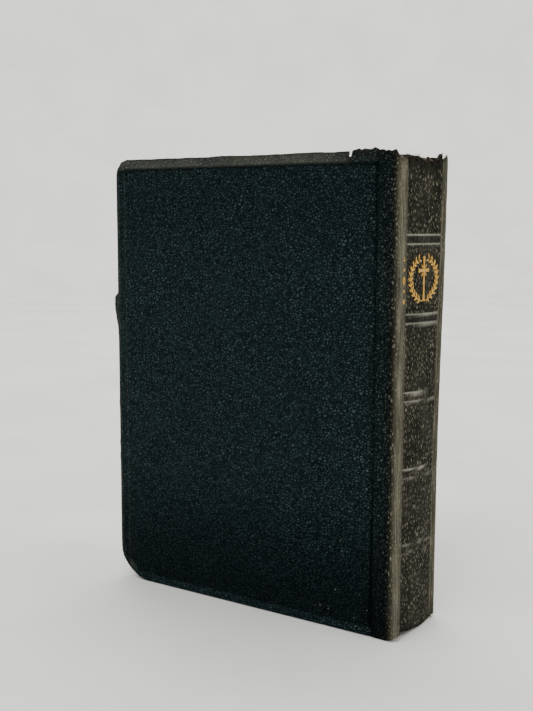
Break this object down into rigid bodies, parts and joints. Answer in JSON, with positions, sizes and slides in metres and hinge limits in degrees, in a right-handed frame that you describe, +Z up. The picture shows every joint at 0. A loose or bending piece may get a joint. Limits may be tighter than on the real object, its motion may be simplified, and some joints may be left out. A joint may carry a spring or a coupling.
{
  "type": "bible",
  "caption": "Upright leather-bound bible with limp covers, curled edge flaps, a rounded tooled spine and sewn pages that open.",
  "frame": {"origin": "on the resting surface, under the middle of the closed book that stands on its tail edge", "axes": "+Z up, from tail to head; -X towards the spine; -Y out of the front cover, +Y out of the back cover"},
  "size_m": [0.152, 0.039, 0.205],
  "materials": {
    "cover_leather": "pebbled grain, worn satin",
    "card": "matte grey-brown card",
    "endpaper": "matte aged endpaper",
    "page_paper": "matte aged page paper",
    "kraft_paper": "matte kraft paper",
    "gauze": "open starched gauze",
    "tape_cloth": "plain woven linen tape",
    "band_cloth": "worked thread over a cord",
    "gold_foil": "worn gold tooling on the spine"
  },
  "bodies": {
    "back_block": {"section_back_01": "page_paper", "section_back_02": "page_paper", "section_back_03": "page_paper", "section_back_04": "page_paper", "section_back_05": "page_paper", "section_back_06": "page_paper", "section_back_07": "page_paper", "section_back_08": "page_paper", "section_back_09": "page_paper", "section_back_10": "page_paper", "spine_leather_back": "cover_leather", "spine_card_back": "card", "spine_lining_back": "kraft_paper", "mull_back": "gauze", "sewing_tape_1_back": "tape_cloth", "sewing_tape_2_back": "tape_cloth", "sewing_tape_3_back": "tape_cloth", "headband_back": "band_cloth", "tailband_back": "band_cloth", "endpaper_fold_back": "endpaper"},
    "back_flyleaf": {"back_flyleaf": "endpaper"},
    "back_cover": {"back_cover_leather": "cover_leather", "back_board": "card", "back_pastedown": "endpaper"},
    "front_block": {"section_front_01": "page_paper", "section_front_02": "page_paper", "section_front_03": "page_paper", "section_front_04": "page_paper", "section_front_05": "page_paper", "section_front_06": "page_paper", "section_front_07": "page_paper", "section_front_08": "page_paper", "section_front_09": "page_paper", "section_front_10": "page_paper", "spine_leather_front": "cover_leather", "spine_card_front": "card", "spine_lining_front": "kraft_paper", "mull_front": "gauze", "sewing_tape_1_front": "tape_cloth", "sewing_tape_2_front": "tape_cloth", "sewing_tape_3_front": "tape_cloth", "headband_front": "band_cloth", "tailband_front": "band_cloth", "endpaper_fold_front": "endpaper"},
    "front_flyleaf": {"front_flyleaf": "endpaper"},
    "front_cover": {"front_cover_leather": "cover_leather", "front_board": "card", "front_pastedown": "endpaper"},
    "centre_leaf_1": {"centre_leaf_1": "page_paper"},
    "centre_leaf_2": {"centre_leaf_2": "page_paper"},
    "centre_leaf_3": {"centre_leaf_3": "page_paper"}
  },
  "joints": [
    {"name": "middle_opening", "type": "hinge", "parent": "back_block", "child": "front_block", "pos_m": [-0.076, 0, 0.1], "axis": [0, 0, -1], "range_deg": [0, 170]},
    {"name": "centre_leaf_1_turn", "type": "hinge", "parent": "back_block", "child": "centre_leaf_1", "pos_m": [-0.076, 0, 0.1], "axis": [0, 0, -1], "range_deg": [0, 128]},
    {"name": "centre_leaf_2_turn", "type": "hinge", "parent": "back_block", "child": "centre_leaf_2", "pos_m": [-0.076, 0, 0.1], "axis": [0, 0, -1], "range_deg": [0, 86]},
    {"name": "centre_leaf_3_turn", "type": "hinge", "parent": "back_block", "child": "centre_leaf_3", "pos_m": [-0.076, 0, 0.1], "axis": [0, 0, -1], "range_deg": [0, 43]},
    {"name": "back_flyleaf_turn", "type": "hinge", "parent": "back_block", "child": "back_flyleaf", "pos_m": [-0.064, 0.0195, 0.1], "axis": [0, 0, 1], "range_deg": [0, 95]},
    {"name": "back_cover_opening", "type": "hinge", "parent": "back_flyleaf", "child": "back_cover", "pos_m": [-0.064, 0.0195, 0.1], "axis": [0, 0, -1], "range_deg": [-175, 0]},
    {"name": "front_flyleaf_turn", "type": "hinge", "parent": "front_block", "child": "front_flyleaf", "pos_m": [-0.064, -0.0195, 0.1], "axis": [0, 0, -1], "range_deg": [0, 95]},
    {"name": "front_cover_opening", "type": "hinge", "parent": "front_flyleaf", "child": "front_cover", "pos_m": [-0.064, -0.0195, 0.1], "axis": [0, 0, 1], "range_deg": [-175, 0]}
  ],
  "couplings": [
    {"joint": "centre_leaf_1_turn", "follows": "middle_opening", "ratio": 0.75},
    {"joint": "centre_leaf_2_turn", "follows": "middle_opening", "ratio": 0.5},
    {"joint": "centre_leaf_3_turn", "follows": "middle_opening", "ratio": 0.25}
  ]
}
